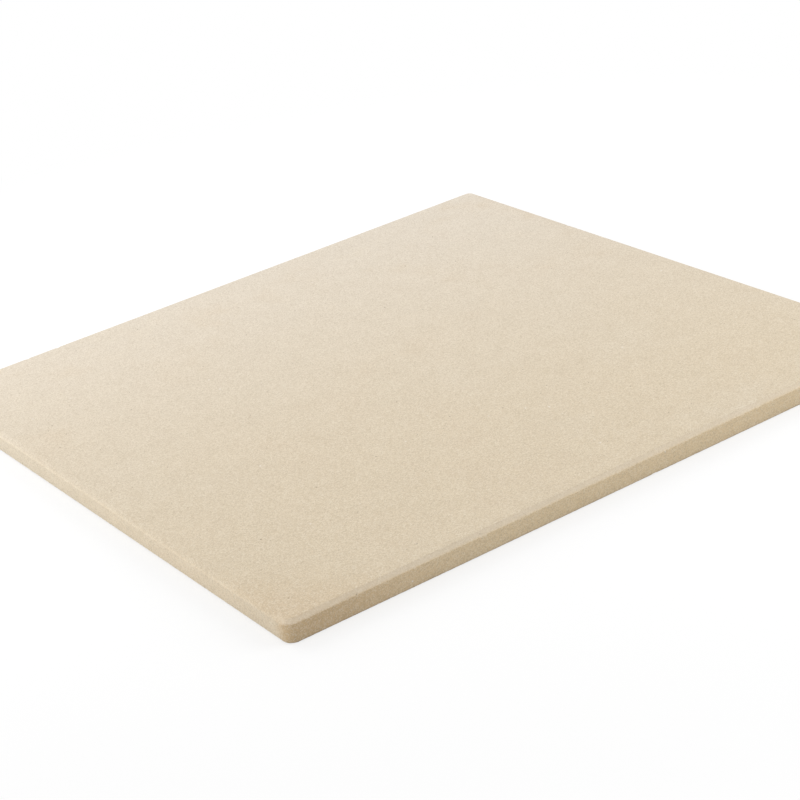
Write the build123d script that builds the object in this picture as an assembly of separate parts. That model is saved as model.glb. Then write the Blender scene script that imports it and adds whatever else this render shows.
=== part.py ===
from build123d import *
import os

# A square pizza stone: one solid slab of pressed and fired ceramic, unglazed and plain.
# Lengths are in millimetres. +Z is up, and the origin is the middle of the underside.
# +X and +Y run along the sides of the square.

# Slab, 15 inches square and just under half an inch thick
slab_length = 381.0
slab_width = 381.0
slab_thickness = 11.7

# Bevel round the baking face. It takes as much off the face as off the side.
bevel_leg = 2.2
# Plan radius of the baking face's corners, inside the bevel
face_corner_radius = 3.3
# Rounding of the two arrises, one above the bevel and one below it
arris_radius = 0.4
# Break along the foot of the walls, which keeps the lower edge from chipping
underside_break = 0.7

# The bevel keeps one width round the corners, so the walls turn on a larger radius than the face
wall_corner_radius = face_corner_radius + bevel_leg
bevel_foot_height = slab_thickness - bevel_leg


def edges_at_height(solid, height):
    """The solid's edges that lie level at one height above the underside."""
    return solid.edges().filter_by_position(Axis.Z, height, height)


def pressed_blank():
    """The slab as it leaves the press: a plate with upright walls and rounded plan corners."""
    outline = RectangleRounded(slab_length, slab_width, wall_corner_radius)
    return extrude(outline, amount=slab_thickness)


def with_bevel(blank):
    """The blank with the bevel that runs all the way round its baking face."""
    return chamfer(edges_at_height(blank, slab_thickness), bevel_leg)


def with_soft_arrises(slab):
    """The bevelled slab with both arrises of the bevel rounded over."""
    above = edges_at_height(slab, slab_thickness)
    below = edges_at_height(slab, bevel_foot_height)
    return fillet(above + below, arris_radius)


def with_broken_foot(slab):
    """The slab with the small break along the foot of its walls."""
    return chamfer(edges_at_height(slab, 0), underside_break)


def baking_stone():
    """The whole stone, one fired piece, built up in the order of its edges."""
    slab = with_bevel(pressed_blank())
    slab = with_soft_arrises(slab)
    return with_broken_foot(slab)


os.makedirs("parts", exist_ok=True)

pieces = {"baking_stone": baking_stone()}

for name, piece in pieces.items():
    export_step(piece, f"parts/{name}.step")
    print(name, "volume", round(piece.volume), "mm3, size", piece.bounding_box().size)
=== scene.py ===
"""A square pizza stone: its fired surface, its floor and light, and the camera of the reference view.

Lengths are in metres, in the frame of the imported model: +Z up, origin at the middle of the underside. The
stone is one fired piece. Its solid has smooth faces and a smooth rim. The piece made here keeps to the same
outline, and carries what firing and handling leave on it: sandy relief, crumbled arrises, small nicks and
open pinholes.
"""

import logging
import math
import random
from dataclasses import dataclass, field
from enum import Enum
from typing import Any, Sequence

import bpy
import numpy as np
from mathutils import Matrix, Vector, noise
from mathutils.geometry import delaunay_2d_cdt


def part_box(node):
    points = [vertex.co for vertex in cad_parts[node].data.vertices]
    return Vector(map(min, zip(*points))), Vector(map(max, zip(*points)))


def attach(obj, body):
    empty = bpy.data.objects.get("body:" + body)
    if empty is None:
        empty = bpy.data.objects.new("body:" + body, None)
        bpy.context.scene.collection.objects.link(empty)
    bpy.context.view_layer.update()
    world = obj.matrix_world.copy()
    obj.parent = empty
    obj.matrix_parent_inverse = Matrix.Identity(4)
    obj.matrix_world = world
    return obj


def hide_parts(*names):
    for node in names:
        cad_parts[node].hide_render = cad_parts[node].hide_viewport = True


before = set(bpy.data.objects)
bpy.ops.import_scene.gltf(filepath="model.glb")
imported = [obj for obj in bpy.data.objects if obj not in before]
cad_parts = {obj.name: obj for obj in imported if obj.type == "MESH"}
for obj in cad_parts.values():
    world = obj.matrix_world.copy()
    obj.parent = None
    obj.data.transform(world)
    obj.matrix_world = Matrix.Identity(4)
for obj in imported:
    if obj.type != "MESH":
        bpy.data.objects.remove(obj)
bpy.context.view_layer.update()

MILLIMETRE = 0.001
TEXTURE_MIDDLE = 0.5  # the middle of what a texture gives, which is from 0 to 1

log = logging.getLogger("pizza_stone")

Colour = tuple[float, float, float]
Point2 = tuple[float, float]
Band = tuple[float, float]  # two values between which something changes or is drawn


class Channel(Enum):
    """Named layers of numbers that the stone's mesh carries on its vertices, for its finish to read."""

    WALL = "wall"
    # the share of the bevel's painted highlight
    BEVEL_HIGHLIGHT = "rubbed"
    HOLLOW = "hollow"


class Signal:
    """A shader socket that can be used in a Python expression. Each operator adds one Math node."""

    def __init__(self, bench: "ShaderBench", socket: bpy.types.NodeSocket) -> None:
        """Wraps one output socket.

        Args:
            bench: the node tree's bench, which adds the Math nodes.
            socket: the output that the signal stands for.
        """
        self.bench = bench
        self.socket = socket

    def _maths(self, operation: str, *values: "Signal | float") -> "Signal":
        """Adds one Math node.

        Args:
            operation: the node's operation, such as ADD.
            values: its inputs in order, signals or numbers.

        Returns:
            The node's result.
        """
        return self.bench.node("ShaderNodeMath", {"operation": operation}, dict(enumerate(values)))

    def __add__(self, other: "Signal | float") -> "Signal":
        """Sum."""
        return self._maths("ADD", self, other)

    __radd__ = __add__

    def __sub__(self, other: "Signal | float") -> "Signal":
        """Difference."""
        return self._maths("SUBTRACT", self, other)

    def __rsub__(self, other: float) -> "Signal":
        """Difference, with the number first."""
        return self._maths("SUBTRACT", other, self)

    def __mul__(self, other: "Signal | float") -> "Signal":
        """Product."""
        return self._maths("MULTIPLY", self, other)

    __rmul__ = __mul__

    def __lt__(self, other: "Signal | float") -> "Signal":
        """1 where this is less than the other, and else 0."""
        return self._maths("LESS_THAN", self, other)

    def fade(self, start: "Signal | float", end: "Signal | float") -> "Signal":
        """A smooth step.

        Args:
            start: the value at which the result is 0.
            end: the value at which the result is 1. It may be less than start.

        Returns:
            The step, from 0 to 1.
        """
        settings = {"interpolation_type": "SMOOTHSTEP"}
        inputs = {"Value": self, "From Min": start, "From Max": end}
        return self.bench.node("ShaderNodeMapRange", settings, inputs)


class ShaderBench:
    """Adds nodes to one node tree."""

    def __init__(self, tree: bpy.types.NodeTree) -> None:
        """Empties a tree and takes it over.

        Args:
            tree: the tree of a material or of the world.
        """
        tree.nodes.clear()
        self.tree = tree

    @staticmethod
    def _find(sockets: Any, key: str | int) -> bpy.types.NodeSocket:
        """Finds one of a node's sockets.

        Args:
            sockets: the node's inputs or outputs.
            key: the socket's identifier, its name or its place.

        Returns:
            The socket.
        """
        if isinstance(key, int):
            return sockets[key]
        return next((s for s in sockets if s.identifier == key), None) or sockets[key]

    def node(
        self,
        kind: str,
        settings: dict[str, Any] | None = None,
        inputs: dict[str | int, Any] | None = None,
        output: str | int = 0,
    ) -> Signal:
        """Adds any node.

        Args:
            kind: the node's type, such as ShaderNodeTexNoise.
            settings: its own properties, which are set first.
            inputs: a value, or a signal to link, for each socket named.
            output: the output that the caller goes on with.

        Returns:
            That output.
        """
        made = self.tree.nodes.new(kind)
        for name, value in (settings or {}).items():
            setattr(made, name, value)
        for key, value in (inputs or {}).items():
            socket = self._find(made.inputs, key)
            if isinstance(value, Signal):
                self.tree.links.new(value.socket, socket)
            else:
                socket.default_value = value
        return Signal(self, self._find(made.outputs, output) if made.outputs else None)

    def also(self, signal: Signal, output: str) -> Signal:
        """Another output of the node that a signal comes from."""
        return Signal(self, self._find(signal.socket.node.outputs, output))

    def blend(self, under: "Signal | Colour", over: "Signal | Colour", share: "Signal | float") -> Signal:
        """Lays one colour over another.

        Args:
            under: the colour where share is 0.
            over: the colour where share is 1.
            share: how much of the second colour shows.

        Returns:
            The mixed colour.
        """
        inputs = {"Factor_Float": share, "A_Color": self._opaque(under), "B_Color": self._opaque(over)}
        return self.node("ShaderNodeMix", {"data_type": "RGBA"}, inputs, "Result_Color")

    def scale(self, value: Signal, times: "Signal | float") -> Signal:
        """A colour or a place times a number, all three channels alike."""
        return self.node("ShaderNodeVectorMath", {"operation": "SCALE"}, {"Vector": value, "Scale": times})

    def tint(self, colour: Signal, times: Signal) -> Signal:
        """A colour times another, channel by channel."""
        return self.node("ShaderNodeVectorMath", {"operation": "MULTIPLY"}, {0: colour, 1: times})

    @staticmethod
    def _opaque(colour: "Signal | Colour") -> Any:
        """A colour as a socket takes it: a signal as it is, three numbers with a full alpha."""
        return colour if isinstance(colour, Signal) else (*colour, 1.0)


@dataclass(frozen=True)
class Specks:
    """One kind of small inclusion that shows in the cut of the fired body."""

    cell: float  # spacing of the inclusions, in millimetres
    smallest: float  # radius, in millimetres
    largest: float
    colour: Colour
    strength: float  # how far it covers the body's colour
    share: float  # of the cells that hold one
    core_share: float = 0.45  # of its radius, within which it has its full strength

    def mask(self, bench: ShaderBench, place: Signal) -> Signal:
        """Where these inclusions show.

        Args:
            bench: the material's bench.
            place: the shaded point, in millimetres.

        Returns:
            1 inside an inclusion and 0 outside, with a soft edge, times their strength.
        """
        cells = {"Vector": place, "Scale": 1 / self.cell}
        distance = bench.node("ShaderNodeTexVoronoi", {}, cells, "Distance")
        draws = bench.node("ShaderNodeSeparateColor", {}, {"Color": bench.also(distance, "Color")}, "Red")
        radius = bench.also(draws, "Green") * (self.largest - self.smallest) + self.smallest
        inside = (distance * self.cell).fade(radius, radius * self.core_share)
        return inside * (draws < self.share) * self.strength


@dataclass(frozen=True)
class CordieriteFinish:
    """Unglazed cordierite: a pale sand body with grit, slow drifts of tone and specks, and painted light and
    shade.
    """

    body: Colour = (0.681, 0.574, 0.420)  # the face's colour at the front, where the painted sheen is least
    painted_sheen: Colour = (0.687, 0.621, 0.536)  # painted sheen: the paler colour towards the back, where the light grazes the face brighter
    corner_shade_tint: Colour = (0.955, 0.896, 0.820)  # painted shade: times the colour, at the near corner, where the light falls off
    cool: Colour = (0.685, 0.600, 0.477)  # the two ways in which the tone drifts
    warm: Colour = (0.685, 0.565, 0.417)
    wall: Colour = (0.785, 0.660, 0.486)  # the side walls: painted light, lighter than the face to make up for the weaker light that falls on them
    # painted sheen on the walls, paler towards the back
    painted_sheen_wall: Colour = (0.815, 0.740, 0.610)
    shaded_front_wall: Colour = (0.750, 0.595, 0.382)  # painted shade: the front wall, darker and warmer as less light falls on it
    darkest_front_wall: Colour = (0.668, 0.494, 0.292)  # its painted shade at the near end, where it is darkest
    pale_grain: Colour = (0.860, 0.790, 0.670)
    dark_grain: Colour = (0.470, 0.385, 0.270)
    rubbed: Colour = (0.785, 0.668, 0.515)  # painted highlight on the front bevel
    pinhole_shade: Colour = (0.300, 0.230, 0.160)  # painted shade on the floor of an open pinhole
    iron: Specks = Specks(
        cell=6.5, smallest=0.22, largest=0.5, colour=(0.20, 0.14, 0.09), strength=0.75, share=0.55
    )
    tan: Specks = Specks(
        cell=3.1, smallest=0.25, largest=0.6, colour=(0.50, 0.38, 0.25), strength=0.45, share=0.8
    )
    quartz: Specks = Specks(
        cell=9.0, smallest=0.3, largest=0.8, colour=(0.88, 0.84, 0.80), strength=0.6, share=0.35
    )
    sheen_heading: float = 78.0  # the way in which the painted sheen grows, in degrees from +X
    sheen_band: Band = (-0.20, 0.353)  # how far that way the painted sheen starts, and where it would be full
    shaded_corner_band: Band = (-0.30, -0.38)  # x + y where the near corner's painted shade starts, and where it is full
    front_band: Band = (-0.178, -0.189)  # y where the front edge's painted shade and highlight start, and where they are full
    front_shade_band: Band = (-0.075, -0.19)  # x where the front wall's painted shade starts to deepen, and where it is darkest
    foot_band: Band = (0.006, 0.0)  # height where a wall starts to darken, and where it is darkest
    foot_shade: float = 0.06  # painted shade: how much the walls darken at the foot, next to the floor
    corner_shade: float = 0.07  # painted shade: how much the walls darken at the near corner
    bevel_highlight_strength: float = 0.50
    pinhole_shade_strength: float = 0.7
    drift_strength: float = 0.5
    drift_size: float = 70.0  # wavelengths of the tone's unevenness, in millimetres
    cloud_size: float = 14.0
    drift_pull: float = 2.2  # how hard each of the two pulls the tone towards cool or warm
    cloud_pull: float = 1.1
    full_pull: float = 0.9  # the pull at which a drift has its whole strength
    grain_size: float = 0.50  # millimetres
    sand_size: float = 0.35
    grain_strength: float = 0.37
    sand_contrast: float = 0.22
    cloud_contrast: float = 0.08
    relief_size: float = 0.75  # wavelength of the coarser relief, in millimetres
    relief_weight: float = 0.6  # what each relief adds to the bump
    sand_weight: float = 0.5
    bump_strength: float = 0.6
    bump_height: float = 0.12  # millimetres
    roughness: float = 0.76
    roughness_contrast: float = 0.16
    gloss: float = 0.20

    def _noise(self, bench: ShaderBench, place: Signal, size: float, detail: float) -> Signal:
        """Noise of one wavelength.

        Args:
            bench: the material's bench.
            place: the shaded point, in millimetres.
            size: the wavelength, in millimetres.
            detail: how many octaves finer the noise goes.

        Returns:
            Numbers about 0, from -0.5 to 0.5.
        """
        inputs = {"Vector": place, "Scale": 1 / size, "Detail": detail}
        return bench.node("ShaderNodeTexNoise", {}, inputs) - TEXTURE_MIDDLE

    def material(self) -> bpy.types.Material:
        """Makes the material.

        Returns:
            The material, which reads the mesh's channels.
        """
        made = bpy.data.materials.new("fired_cordierite")
        made.use_nodes = True
        bench = ShaderBench(made.node_tree)
        here = bench.node("ShaderNodeTexCoord", output="Object")
        place = bench.scale(here, 1 / MILLIMETRE)
        layer = {
            channel: bench.node("ShaderNodeAttribute", {"attribute_name": channel.value}, output="Fac")
            for channel in Channel
        }

        drift = self._noise(bench, place, self.drift_size, detail=2.0)
        cloud = self._noise(bench, place, self.cloud_size, detail=3.0)
        sand = self._noise(bench, place, self.sand_size, detail=1.0)
        cells = {"Vector": place, "Scale": 1 / self.grain_size}
        grains = bench.node("ShaderNodeTexVoronoi", {}, cells, "Color")
        grit = bench.node("ShaderNodeSeparateColor", {}, {"Color": grains}, "Red")

        x = bench.node("ShaderNodeSeparateXYZ", {}, {"Vector": here}, "X")
        y, z = bench.also(x, "Y"), bench.also(x, "Z")
        # Painted sheen: the colour pales towards the back, as if the light grazed it brighter there.
        turn = math.radians(self.sheen_heading)
        sheen_share = (x * math.cos(turn) + y * math.sin(turn)).fade(*self.sheen_band)
        colour = bench.blend(self.body, self.painted_sheen, sheen_share)
        coolness = drift * self.drift_pull + cloud * self.cloud_pull
        warmth = drift * -self.drift_pull - cloud * self.cloud_pull
        colour = bench.blend(colour, self.cool, coolness.fade(0.0, self.full_pull) * self.drift_strength)
        colour = bench.blend(colour, self.warm, warmth.fade(0.0, self.full_pull) * self.drift_strength)
        # Painted shade: the face and walls darken towards the near corner.
        corner = (x + y).fade(*self.shaded_corner_band)
        colour = bench.tint(colour, bench.blend((1.0, 1.0, 1.0), self.corner_shade_tint, corner))
        # Painted shade on the front wall, deepest at its near end.
        front = y.fade(*self.front_band)
        shaded_front_wall = bench.blend(self.shaded_front_wall, self.darkest_front_wall, x.fade(*self.front_shade_band))
        wall = bench.blend(bench.blend(self.wall, self.painted_sheen_wall, sheen_share), shaded_front_wall, front)
        # The walls take their colour, lifted lighter as painted light.
        colour = bench.blend(colour, wall, layer[Channel.WALL])
        colour = bench.blend(colour, self.pale_grain, grit.fade(TEXTURE_MIDDLE, 1.0) * self.grain_strength)
        colour = bench.blend(colour, self.dark_grain, grit.fade(TEXTURE_MIDDLE, 0.0) * self.grain_strength)
        for kind in (self.tan, self.quartz, self.iron):
            colour = bench.blend(colour, kind.colour, kind.mask(bench, place))
        # Painted highlight on the front bevel.
        colour = bench.blend(colour, self.rubbed, layer[Channel.BEVEL_HIGHLIGHT] * front * self.bevel_highlight_strength)
        # Painted shade at the walls' foot and at the near corner.
        foot = z.fade(*self.foot_band)
        shade = (foot * self.foot_shade + corner * self.corner_shade) * layer[Channel.WALL]
        colour = bench.scale(colour, sand * self.sand_contrast + cloud * self.cloud_contrast + 1.0 - shade)
        # Painted shade in the pinholes.
        colour = bench.blend(colour, self.pinhole_shade, layer[Channel.HOLLOW] * self.pinhole_shade_strength)

        coarse = self._noise(bench, place, self.relief_size, detail=2.0)
        relief = coarse * self.relief_weight + sand * self.sand_weight
        bump = {"Strength": self.bump_strength, "Distance": self.bump_height * MILLIMETRE, "Height": relief}
        normal = bench.node("ShaderNodeBump", {}, bump)
        surface = {
            "Base Color": colour,
            "Roughness": sand * self.roughness_contrast + self.roughness,
            "Specular IOR Level": self.gloss,
            "Normal": normal,
        }
        shader = bench.node("ShaderNodeBsdfPrincipled", {}, surface)
        bench.node("ShaderNodeOutputMaterial", {}, {"Surface": shader})
        return made


@dataclass(frozen=True)
class FloorFinish:
    """A seamless white floor that keeps a faint shadow near the stone and is plain white further off."""

    paper: float = 0.5  # how light it is for the light that it throws back at the stone
    shadow_share: float = 0.34  # how much of the shadow shows near the stone
    near: float = 0.34  # metres from the middle, up to which that much shows
    far: float = 0.55  # metres from the middle, from which none shows

    def material(self) -> bpy.types.Material:
        """Makes the material.

        Returns:
            A matt white, which for the camera alone is lifted to plain white away from the stone.
        """
        made = bpy.data.materials.new("white_floor")
        made.use_nodes = True
        bench = ShaderBench(made.node_tree)
        here = bench.node("ShaderNodeTexCoord", output="Object")
        reach = bench.node("ShaderNodeVectorMath", {"operation": "LENGTH"}, {"Vector": here}, "Value")
        path = bench.node("ShaderNodeLightPath", output="Is Camera Ray")
        keeps_shadow = reach.fade(self.far, self.near) * self.shadow_share
        matt = bench.node("ShaderNodeBsdfDiffuse", {}, {"Color": (self.paper, self.paper, self.paper, 1.0)})
        white = bench.node("ShaderNodeBsdfDiffuse", {}, {"Color": (1.0, 1.0, 1.0, 1.0)})
        glow = bench.node("ShaderNodeEmission", {}, {"Strength": 1.0})
        seen = bench.node("ShaderNodeMixShader", {}, {0: keeps_shadow, 1: glow, 2: white})
        shader = bench.node("ShaderNodeMixShader", {}, {0: path, 1: matt, 2: seen})
        bench.node("ShaderNodeOutputMaterial", {}, {"Surface": shader})
        return made


@dataclass(frozen=True)
class Station:
    """One place along the slab's outline, on the wall."""

    x: float
    y: float
    out_x: float  # the wall's outward normal
    out_y: float
    along: float  # distance from the start of the outline


@dataclass
class Outline:
    """The slab's plan outline: a square with rounded corners, walked anticlockwise."""

    length: float
    width: float
    corner_radius: float
    step: float  # spacing of the stations along the sides
    corner_steps: int = 9  # stations round one corner

    def stations(self) -> list[Station]:
        """Spaces places evenly along the sides and round the corners.

        Returns:
            The stations in order, without a repeat of the first.
        """
        half_x = self.length / 2 - self.corner_radius
        half_y = self.width / 2 - self.corner_radius
        centres = ((half_x, -half_y), (half_x, half_y), (-half_x, half_y), (-half_x, -half_y))
        found: list[Station] = []
        along = 0.0
        for turn, (centre_x, centre_y) in enumerate(centres):
            start = (turn - 1) * math.pi / 2
            for i in range(self.corner_steps):
                angle = start + i / self.corner_steps * math.pi / 2
                out = Vector((math.cos(angle), math.sin(angle)))
                spot = Vector((centre_x, centre_y)) + out * self.corner_radius
                found.append(Station(spot.x, spot.y, out.x, out.y, along))
                along += self.corner_radius * math.pi / 2 / self.corner_steps
            run = 2 * (half_y if turn % 2 == 0 else half_x)
            out = Vector((math.cos(start + math.pi / 2), math.sin(start + math.pi / 2)))
            first = Vector((centre_x, centre_y)) + out * self.corner_radius
            heading = Vector((-out.y, out.x))
            count = round(run / self.step)
            for i in range(count):
                spot = first + heading * (run * i / count)
                found.append(Station(spot.x, spot.y, out.x, out.y, along + run * i / count))
            along += run
        return found


@dataclass(frozen=True)
class RimPoint:
    """One place on the rim's section."""

    inset: float  # in from the wall
    height: float  # above the underside
    out: float  # the section's outward normal, level part
    up: float  # and its rising part
    wall: float  # how much of the wall's finish it has, from 0 to 1
    rubbed: float  # how much of the front bevel's painted highlight it takes, from 0 to 1
    arris: tuple[float, float, float, float]  # nearness to each arris, from 0 to 1


@dataclass
class RimSection:
    """The rim's section, from the baking face over the bevel and down the wall to the underside."""

    thickness: float
    bevel_leg: float = 2.2 * MILLIMETRE
    arris_radius: float = 0.4 * MILLIMETRE
    underside_break: float = 0.7 * MILLIMETRE
    foot_radius: float = 0.25 * MILLIMETRE  # rounds both edges of the break
    apron: float = 1.0 * MILLIMETRE  # the level strip between the rim and the sheet next to it
    step: float = 0.8 * MILLIMETRE  # the furthest that two points of a straight lie apart
    arc_steps: int = 4
    arris_reach: float = 0.55 * MILLIMETRE  # how far the wear of an arris spreads
    wall_onset: int = 4  # the higher it is, the lower on the bevel the wall's finish sets in
    bevel_highlight_spread: float = 0.5  # the lower it is, the more evenly the painted highlight spreads over the bevel

    def _corners(self) -> list[tuple[Vector, float]]:
        """The section's corners as (inset, height), each with the radius that rounds it."""
        top, leg, foot = self.thickness, self.bevel_leg, self.underside_break
        return [
            (Vector((leg + self.apron, top)), 0.0),
            (Vector((leg, top)), self.arris_radius),
            (Vector((0.0, top - leg)), self.arris_radius),
            (Vector((0.0, foot)), self.foot_radius),
            (Vector((foot, 0.0)), self.foot_radius),
            (Vector((foot + self.apron, 0.0)), 0.0),
        ]

    def _arc(self, before: Vector, corner: Vector, after: Vector, radius: float) -> list[Vector]:
        """Rounds one corner.

        Args:
            before: the corner before it.
            corner: the corner to round.
            after: the corner after it.
            radius: the rounding's radius.

        Returns:
            Points along the arc, both its ends among them.
        """
        back, ahead = (before - corner).normalized(), (after - corner).normalized()
        half_angle = back.angle(ahead) / 2
        middle = corner + (back + ahead).normalized() * (radius / math.sin(half_angle))
        start = corner + back * (radius / math.tan(half_angle))
        end = corner + ahead * (radius / math.tan(half_angle))
        sweep = (start - middle).angle_signed(end - middle)
        spoke = start - middle
        points = []
        for i in range(self.arc_steps + 1):
            turned = spoke.copy()
            turned.rotate(Matrix.Rotation(-sweep * i / self.arc_steps, 2))
            points.append(middle + turned)
        return points

    def points(self) -> list[RimPoint]:
        """Walks the section.

        Returns:
            Its points from the baking face to the underside.
        """
        corners = self._corners()
        path = [corners[0][0]]
        for (before, _), (corner, radius), (after, _) in zip(corners, corners[1:], corners[2:]):
            arc = self._arc(before, corner, after, radius)
            path += self._straight(path[-1], arc[0]) + arc
        path += self._straight(path[-1], corners[-1][0]) + [corners[-1][0]]
        arrises = [corner for corner, radius in corners if radius]
        found = []
        for i, spot in enumerate(path):
            tangent = (path[min(i + 1, len(path) - 1)] - path[max(i - 1, 0)]).normalized()
            near = tuple(math.exp(-(((spot - a).length / self.arris_reach) ** 2)) for a in arrises)
            inner = i in (0, len(path) - 1)
            share = min(1.0, max(0.0, (self.thickness - spot.y) / self.bevel_leg))
            found.append(
                RimPoint(
                    inset=spot.x,
                    height=spot.y,
                    out=-tangent.y,
                    up=-tangent.x,
                    wall=0.0 if inner else share**self.wall_onset,
                    rubbed=math.sin(math.pi * share) ** self.bevel_highlight_spread,
                    arris=(0.0,) * len(arrises) if inner else near,
                )
            )
        return found

    def _straight(self, start: Vector, end: Vector) -> list[Vector]:
        """Points between two others, no further apart than the step, without either end."""
        count = max(1, math.ceil((end - start).length / self.step))
        return [start.lerp(end, i / count) for i in range(1, count)]


@dataclass(frozen=True)
class Nick:
    """A small chip out of one arris."""

    arris: int  # counted from the baking face down
    along: float  # place of its middle along the outline
    half_length: float
    depth: float


@dataclass
class EdgeWear:
    """What handling and firing leave on the rim. All of it takes material away."""

    perimeter: float
    relief: float = 0.035 * MILLIMETRE  # depth of the sandy relief
    relief_size: float = 1.3 * MILLIMETRE  # and its wavelength
    relief_onset: float = 2.0  # how soon it sets in off the two level faces
    crumbles: tuple[float, float, float, float] = (  # the raggedness of each arris, from the face down
        0.04 * MILLIMETRE,
        0.07 * MILLIMETRE,
        0.10 * MILLIMETRE,
        0.08 * MILLIMETRE,
    )
    crumble_size: float = 2.4 * MILLIMETRE  # wavelength of the raggedness
    crumble_floor: float = 0.30  # wear that the raggedness goes up and down from
    fine_weight: float = 0.6  # of a finer raggedness on top of it
    fine_scale: float = 2.7  # how much finer that is
    noise_row: float = 7.0  # keeps the arrises' raggedness apart
    fine_layer: float = 3.0  # and the finer from the coarser
    least_near: float = 0.02  # nearness under which an arris doesn't wear
    nicks_per_arris: tuple[int, int, int, int] = (4, 22, 16, 8)  # from the face down
    nick_half_length: Band = (0.6 * MILLIMETRE, 1.7 * MILLIMETRE)
    nick_depth: Band = (0.12 * MILLIMETRE, 0.38 * MILLIMETRE)
    seed: int = 11
    nicks: list[Nick] = field(default_factory=list)

    def __post_init__(self) -> None:
        """Draws the nicks."""
        draw = random.Random(self.seed)
        for arris, count in enumerate(self.nicks_per_arris):
            for _ in range(count):
                place = draw.uniform(0, self.perimeter)
                half_length = draw.uniform(*self.nick_half_length)
                self.nicks.append(Nick(arris, place, half_length, draw.uniform(*self.nick_depth)))

    def depth(self, spot: Vector, along: float, point: RimPoint) -> float:
        """How far the surface has gone back at one place of the rim.

        Args:
            spot: the place on the rim as it was pressed, before any wear.
            along: its place along the outline.
            point: its place on the section.

        Returns:
            The depth, at least 0.
        """
        strength = min(1.0, self.relief_onset * (max(point.out, 0.0) + sum(point.arris)))
        sandy = (1 + noise.noise(spot / self.relief_size)) / 2
        total = self.relief * sandy * strength
        for index, (near, crumble) in enumerate(zip(point.arris, self.crumbles)):
            if near > self.least_near:
                course, row = along / self.crumble_size, self.noise_row * index
                ragged = noise.noise(Vector((course, row, 0.0)))
                fine = noise.noise(Vector((course * self.fine_scale, row, self.fine_layer)))
                total += near * crumble * max(0.0, self.crumble_floor + ragged + self.fine_weight * fine)
        for nick in self.nicks:
            near = point.arris[nick.arris]
            gap = abs(along - nick.along)
            if near > self.least_near and gap < nick.half_length:
                total += near * nick.depth * (1 - (gap / nick.half_length) ** 2)
        return total


@dataclass(frozen=True)
class Pinhole:
    """One open pore in a face."""

    x: float
    y: float
    radius: float
    depth: float
    rim: tuple[Point2, ...]


@dataclass(frozen=True)
class PinholeField:
    """Pores scattered over a face. Most are tiny and a few are large."""

    count: int
    smallest: float = 0.16 * MILLIMETRE  # mean radius
    largest: float = 0.62 * MILLIMETRE
    rarity: float = 3.2  # how much rarer the large ones are
    depth_share: float = 0.55  # depth of a pore, as a share of its radius
    clearance: float = 2.5  # the nearest that two pores lie, in sums of their radii
    rim_spread: Band = (0.88, 1.08)  # how far out the points of a rim lie, as shares of the radius
    squash_spread: Band = (0.7, 1.0)  # width of a pore, as a share of its length
    sides: int = 8
    seed: int = 5

    def scatter(self, half_x: float, half_y: float) -> list[Pinhole]:
        """Places the pores so that none touches another.

        Args:
            half_x: half the length of the field.
            half_y: half its width.

        Returns:
            The pores.
        """
        draw = random.Random(self.seed)
        spots = np.zeros((0, 3))
        found: list[Pinhole] = []
        while len(found) < self.count:
            x, y = draw.uniform(-half_x, half_x), draw.uniform(-half_y, half_y)
            radius = self.smallest + (self.largest - self.smallest) * draw.random() ** self.rarity
            gaps = np.hypot(spots[:, 0] - x, spots[:, 1] - y)
            if (gaps < self.clearance * (spots[:, 2] + radius)).any():
                continue
            spots = np.vstack([spots, (x, y, radius)])
            found.append(Pinhole(x, y, radius, radius * self.depth_share, self._rim(draw, x, y, radius)))
        return found

    def _rim(self, draw: random.Random, x: float, y: float, radius: float) -> tuple[Point2, ...]:
        """The uneven edge of one pore.

        Args:
            draw: the source of chance.
            x: the pore's place.
            y: the pore's place.
            radius: the pore's mean radius.

        Returns:
            Points anticlockwise round the pore.
        """
        phase, squash = draw.uniform(0, math.tau), draw.uniform(*self.squash_spread)
        rim = []
        for i in range(self.sides):
            angle = math.tau * i / self.sides
            reach = radius * draw.uniform(*self.rim_spread)
            across, along = reach * math.cos(angle), reach * math.sin(angle) * squash
            turned_x = across * math.cos(phase) - along * math.sin(phase)
            turned_y = across * math.sin(phase) + along * math.cos(phase)
            rim.append((x + turned_x, y + turned_y))
        return tuple(rim)


class MeshDraft:
    """Vertices, faces and vertex channels, gathered before the mesh is made."""

    def __init__(self) -> None:
        """Starts empty."""
        self.vertices: list[tuple[float, float, float]] = []
        self.faces: list[tuple[int, ...]] = []
        self.smooth: list[bool] = []
        self.channels: dict[Channel, list[float]] = {c: [] for c in Channel}

    def vertex(self, spot: Sequence[float], **levels: float) -> int:
        """Adds a vertex.

        Args:
            spot: its place.
            levels: its channels by name, 0 where left out.

        Returns:
            Its index.
        """
        self.vertices.append((spot[0], spot[1], spot[2]))
        for channel, values in self.channels.items():
            values.append(levels.get(channel.value, 0.0))
        return len(self.vertices) - 1

    def face(self, corners: Sequence[int], smooth: bool, flip: bool = False) -> None:
        """Adds a face, turned over if flip is true."""
        self.faces.append(tuple(reversed(corners)) if flip else tuple(corners))
        self.smooth.append(smooth)

    def mesh(self, name: str) -> bpy.types.Mesh:
        """Makes the mesh.

        Args:
            name: the mesh's name.

        Returns:
            The mesh, with its channels as vertex attributes.
        """
        made = bpy.data.meshes.new(name)
        made.from_pydata(self.vertices, [], self.faces)
        made.polygons.foreach_set("use_smooth", self.smooth)
        for channel, values in self.channels.items():
            made.attributes.new(channel.value, "FLOAT", "POINT").data.foreach_set("value", values)
        made.update()
        return made


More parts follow.
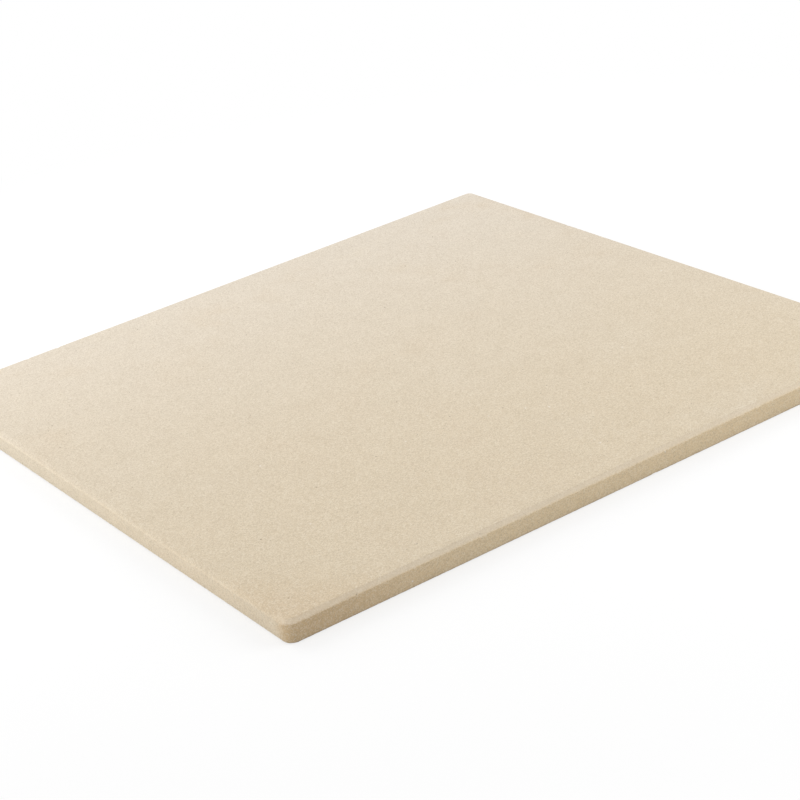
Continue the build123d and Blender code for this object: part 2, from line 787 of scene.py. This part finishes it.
@dataclass
class FiredSlab:
    """The stone itself: a worn rim round two plane faces that are open with pinholes."""

    length: float
    width: float
    thickness: float
    node: str = "baking_stone"
    body: str = "root"
    slot: str = "fired_cordierite"
    corner_radius: float = 5.5 * MILLIMETRE
    outline_step: float = 1.15 * MILLIMETRE  # spacing of the rim's vertices along the sides
    sheet_step: float = 10.0 * MILLIMETRE  # spacing of a sheet's own points
    sheet_margin: float = 7.0 * MILLIMETRE  # the nearest that a pinhole's middle lies to a wall
    pinhole_margin: float = 3.0  # radii of a pinhole that a sheet's own points stay clear of
    face_pinholes: PinholeField = PinholeField(count=420, seed=5)
    underside_pinholes: PinholeField = PinholeField(count=260, largest=0.8 * MILLIMETRE, seed=6)
    finish: CordieriteFinish = CordieriteFinish()

    @classmethod
    def from_node(cls, node: str) -> "FiredSlab":
        """Takes the slab's size from its solid.

        Args:
            node: the solid's name in the frame.

        Returns:
            A slab of that size.
        """
        low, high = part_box(node)
        size = high - low
        return cls(length=size.x, width=size.y, thickness=size.z, node=node)

    def build(self) -> bpy.types.Object:
        """Makes the stone, dresses it and puts it in the frame.

        Returns:
            The finished piece.
        """
        draft = MeshDraft()
        face_loop, underside_loop = self._rim(draft)
        self._sheet(draft, face_loop, self.thickness, self.face_pinholes)
        self._sheet(draft, underside_loop, 0.0, self.underside_pinholes, underneath=True)
        mesh = draft.mesh("fired_slab")
        mesh.materials.append(self.finish.material())
        piece = bpy.data.objects.new("fired_slab", mesh)
        bpy.context.scene.collection.objects.link(piece)
        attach(piece, self.body)
        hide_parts(self.node)
        return piece

    def _rim(self, draft: MeshDraft) -> tuple[list[int], list[int]]:
        """Builds the worn rim.

        Args:
            draft: where the vertices and faces go.

        Returns:
            The loops of vertices at its two inner edges, on the baking face and on the underside.
        """
        stations = Outline(self.length, self.width, self.corner_radius, self.outline_step).stations()
        section = RimSection(self.thickness).points()
        perimeter = stations[-1].along + self.outline_step
        wear = EdgeWear(perimeter)
        rows: list[list[int]] = [[] for _ in section]
        for station in stations:
            for row, point in zip(rows, section):
                x = station.x - station.out_x * point.inset
                y = station.y - station.out_y * point.inset
                spot = Vector((x, y, point.height))
                out = Vector((station.out_x * point.out, station.out_y * point.out, point.up)).normalized()
                worn = spot - out * wear.depth(spot, station.along, point)
                row.append(draft.vertex(worn, wall=point.wall, rubbed=point.rubbed))
        count = len(stations)
        for upper, lower in zip(rows, rows[1:]):
            for i in range(count):
                after = (i + 1) % count
                draft.face((upper[i], lower[i], lower[after], upper[after]), smooth=True)
        return rows[0], rows[-1]

    def _sheet(
        self, draft: MeshDraft, loop: list[int], height: float, pores: PinholeField, underneath: bool = False
    ) -> None:
        """Fills a loop with a plane sheet that is open at each pinhole.

        Args:
            draft: where the vertices and faces go.
            loop: the rim's vertices round the sheet.
            height: the sheet's level.
            pores: the pinholes to scatter over it.
            underneath: whether the sheet looks down.
        """
        half_x = self.length / 2 - self.sheet_margin
        half_y = self.width / 2 - self.sheet_margin
        holes = pores.scatter(half_x, half_y)
        ids = list(loop)
        edges = [(i, (i + 1) % len(loop)) for i in range(len(loop))]
        rims: list[list[int]] = []
        for hole in holes:
            start = len(ids)
            ids += [draft.vertex((x, y, height)) for x, y in hole.rim]
            edges += [(start + i, start + (i + 1) % pores.sides) for i in range(pores.sides)]
            rims.append(ids[start:])
        ids += [draft.vertex((x, y, height)) for x, y in self._grid(half_x, half_y, holes)]
        flat = [Vector(draft.vertices[i][:2]) for i in ids]
        outer = [list(range(len(loop)))]
        inside_only, weld = 1, 1e-9
        _, _, triangles, origins, _, _ = delaunay_2d_cdt(flat, edges, outer, inside_only, weld)
        owner = {vertex: n for n, rim in enumerate(rims) for vertex in rim}
        for corners in triangles:
            face = [ids[origins[c][0]] for c in corners]
            owners = {owner.get(v, -1) for v in face}
            if len(owners) == 1 and owners != {-1}:
                continue
            draft.face(face, smooth=False, flip=underneath)
        for hole, rim in zip(holes, rims):
            self._pore(draft, hole, rim, height, underneath)

    def _grid(self, half_x: float, half_y: float, holes: list[Pinhole]) -> list[Point2]:
        """Points that keep a sheet's triangles short.

        Args:
            half_x: half the length of the field.
            half_y: half its width.
            holes: the pinholes, which the points stay clear of.

        Returns:
            The points.
        """
        across, along = round(2 * half_x / self.sheet_step), round(2 * half_y / self.sheet_step)
        spots = np.array([(h.x, h.y, h.radius) for h in holes])
        found = []
        for i in range(across + 1):
            for j in range(along + 1):
                x, y = half_x * (2 * i / across - 1), half_y * (2 * j / along - 1)
                if (np.hypot(spots[:, 0] - x, spots[:, 1] - y) > self.pinhole_margin * spots[:, 2]).all():
                    found.append((x, y))
        return found

    def _pore(
        self, draft: MeshDraft, hole: Pinhole, rim: list[int], height: float, underneath: bool
    ) -> None:
        """Builds one pinhole below its rim.

        Args:
            draft: where the vertices and faces go.
            hole: the pinhole.
            rim: the vertices of its edge.
            height: the sheet's level.
            underneath: whether the sheet looks down, so that the pinhole goes up from it.
        """
        sink = 1.0 if underneath else -1.0
        waist_share, waist_depth_share = 0.62, 0.8
        waist = []
        for x, y in hole.rim:
            inner = (hole.x + (x - hole.x) * waist_share, hole.y + (y - hole.y) * waist_share)
            waist.append(draft.vertex((*inner, height + sink * hole.depth * waist_depth_share), hollow=1.0))
        floor = draft.vertex((hole.x, hole.y, height + sink * hole.depth), hollow=1.0)
        for i in range(len(rim)):
            after = (i + 1) % len(rim)
            draft.face((rim[i], rim[after], waist[after], waist[i]), smooth=True, flip=underneath)
            draft.face((waist[i], waist[after], floor), smooth=True, flip=underneath)


def direction(azimuth: float, elevation: float) -> Vector:
    """The way from the stone to a camera or a lamp.

    Args:
        azimuth: its bearing in degrees, 0 on the stone's -Y side and 90 on its +X side.
        elevation: its angle above the floor, in degrees.

    Returns:
        A vector of length 1.
    """
    turn, lift = math.radians(azimuth), math.radians(elevation)
    return Vector((math.sin(turn) * math.cos(lift), -math.cos(turn) * math.cos(lift), math.sin(lift)))


@dataclass
class PhotoCamera:
    """The camera of the reference view, aimed at a point of the baking face."""

    face_height: float
    aim: Point2 = (-0.0248, -0.03965)  # the point of the face in the middle of the picture
    azimuth: float = -30.93
    elevation: float = 24.36
    roll: float = 9.05  # turned clockwise, seen from behind
    distance: float = 1.1635
    focal_length: float = 100.0  # millimetres
    frame_width: float = 36.0  # millimetres

    def build(self) -> bpy.types.Object:
        """Makes the camera and sets it as the scene's.

        Returns:
            The camera.
        """
        turn, roll = math.radians(self.azimuth), math.radians(self.roll)
        back = direction(self.azimuth, self.elevation)
        level = Vector((math.cos(turn), math.sin(turn), 0.0))
        above = back.cross(level)
        right = level * math.cos(roll) - above * math.sin(roll)
        up = above * math.cos(roll) + level * math.sin(roll)
        data = bpy.data.cameras.new("photo_camera")
        data.lens, data.sensor_width = self.focal_length, self.frame_width
        made = bpy.data.objects.new("photo_camera", data)
        bpy.context.scene.collection.objects.link(made)
        turned = Matrix((right, up, back)).transposed().to_4x4()
        stand = Vector((*self.aim, self.face_height)) + back * self.distance
        made.matrix_world = Matrix.Translation(stand) @ turned
        bpy.context.scene.camera = made
        return made


@dataclass
class Softbox:
    """A square soft lamp that looks at the stone."""

    name: str
    azimuth: float  # degrees
    elevation: float
    distance: float
    side: float
    power: float  # watts

    def build(self) -> bpy.types.Object:
        """Makes the lamp.

        Returns:
            The lamp.
        """
        towards = direction(self.azimuth, self.elevation)
        data = bpy.data.lights.new(self.name, "AREA")
        data.size, data.energy = self.side, self.power
        made = bpy.data.objects.new(self.name, data)
        bpy.context.scene.collection.objects.link(made)
        made.location = towards * self.distance
        made.rotation_mode = "QUATERNION"
        made.rotation_quaternion = towards.to_track_quat("Z", "Y")
        made.visible_camera = False
        return made


@dataclass
class Studio:
    """The white room: floor, sky light and lamps."""

    floor_side: float = 12.0
    floor_drop: float = 0.02 * MILLIMETRE  # keeps the floor clear of the underside
    sky_strength: float = 0.60  # of the light that the sky throws, where its plain white is 1
    lamps: tuple[Softbox, ...] = (
        Softbox("left_light", azimuth=-90.0, elevation=12.0, distance=1.9, side=1.2, power=14.0),
        Softbox("back_light", azimuth=-150.0, elevation=35.0, distance=0.75, side=0.5, power=2.0),
        Softbox("right_light", azimuth=45.0, elevation=28.0, distance=1.0, side=0.6, power=3.5),
        Softbox("far_light", azimuth=135.0, elevation=35.0, distance=0.8, side=0.5, power=0.95),
    )

    def build(self) -> None:
        """Makes the floor, the sky and the lamps."""
        self._floor()
        self._sky()
        for lamp in self.lamps:
            lamp.build()
            log.info("lamp %s, %.1f W", lamp.name, lamp.power)

    def _floor(self) -> None:
        """Makes the floor, just under the stone."""
        half = self.floor_side / 2
        mesh = bpy.data.meshes.new("floor")
        corners = [(-half, -half, 0), (half, -half, 0), (half, half, 0), (-half, half, 0)]
        mesh.from_pydata(corners, [], [(0, 1, 2, 3)])
        mesh.materials.append(FloorFinish().material())
        floor = bpy.data.objects.new("floor", mesh)
        bpy.context.scene.collection.objects.link(floor)
        floor.location.z = -self.floor_drop

    def _sky(self) -> None:
        """Lights the room evenly, and shows the camera and the stone's gloss a plain white."""
        world = bpy.data.worlds.new("white_room")
        world.use_nodes = True
        bench = ShaderBench(world.node_tree)
        seen = bench.node("ShaderNodeLightPath", output="Is Camera Ray")
        seen = seen + bench.also(seen, "Is Glossy Ray") + bench.also(seen, "Is Transmission Ray")
        strength = seen.fade(0.0, 1.0) * (1.0 - self.sky_strength) + self.sky_strength
        sky = bench.node("ShaderNodeBackground", {}, {"Color": (1.0, 1.0, 1.0, 1.0), "Strength": strength})
        bench.node("ShaderNodeOutputWorld", {}, {"Surface": sky})
        bpy.context.scene.world = world


def main() -> None:
    """Builds the camera, the studio and the stone."""
    logging.basicConfig(level=logging.INFO, format="%(name)s: %(message)s")
    stone = FiredSlab.from_node("baking_stone")
    PhotoCamera(face_height=stone.thickness).build()
    Studio().build()
    piece = stone.build()
    log.info("piece %s, %d faces", piece.name, len(piece.data.polygons))
    bpy.context.scene.view_settings.view_transform = "Standard"


if __name__ == "__main__":
    main()
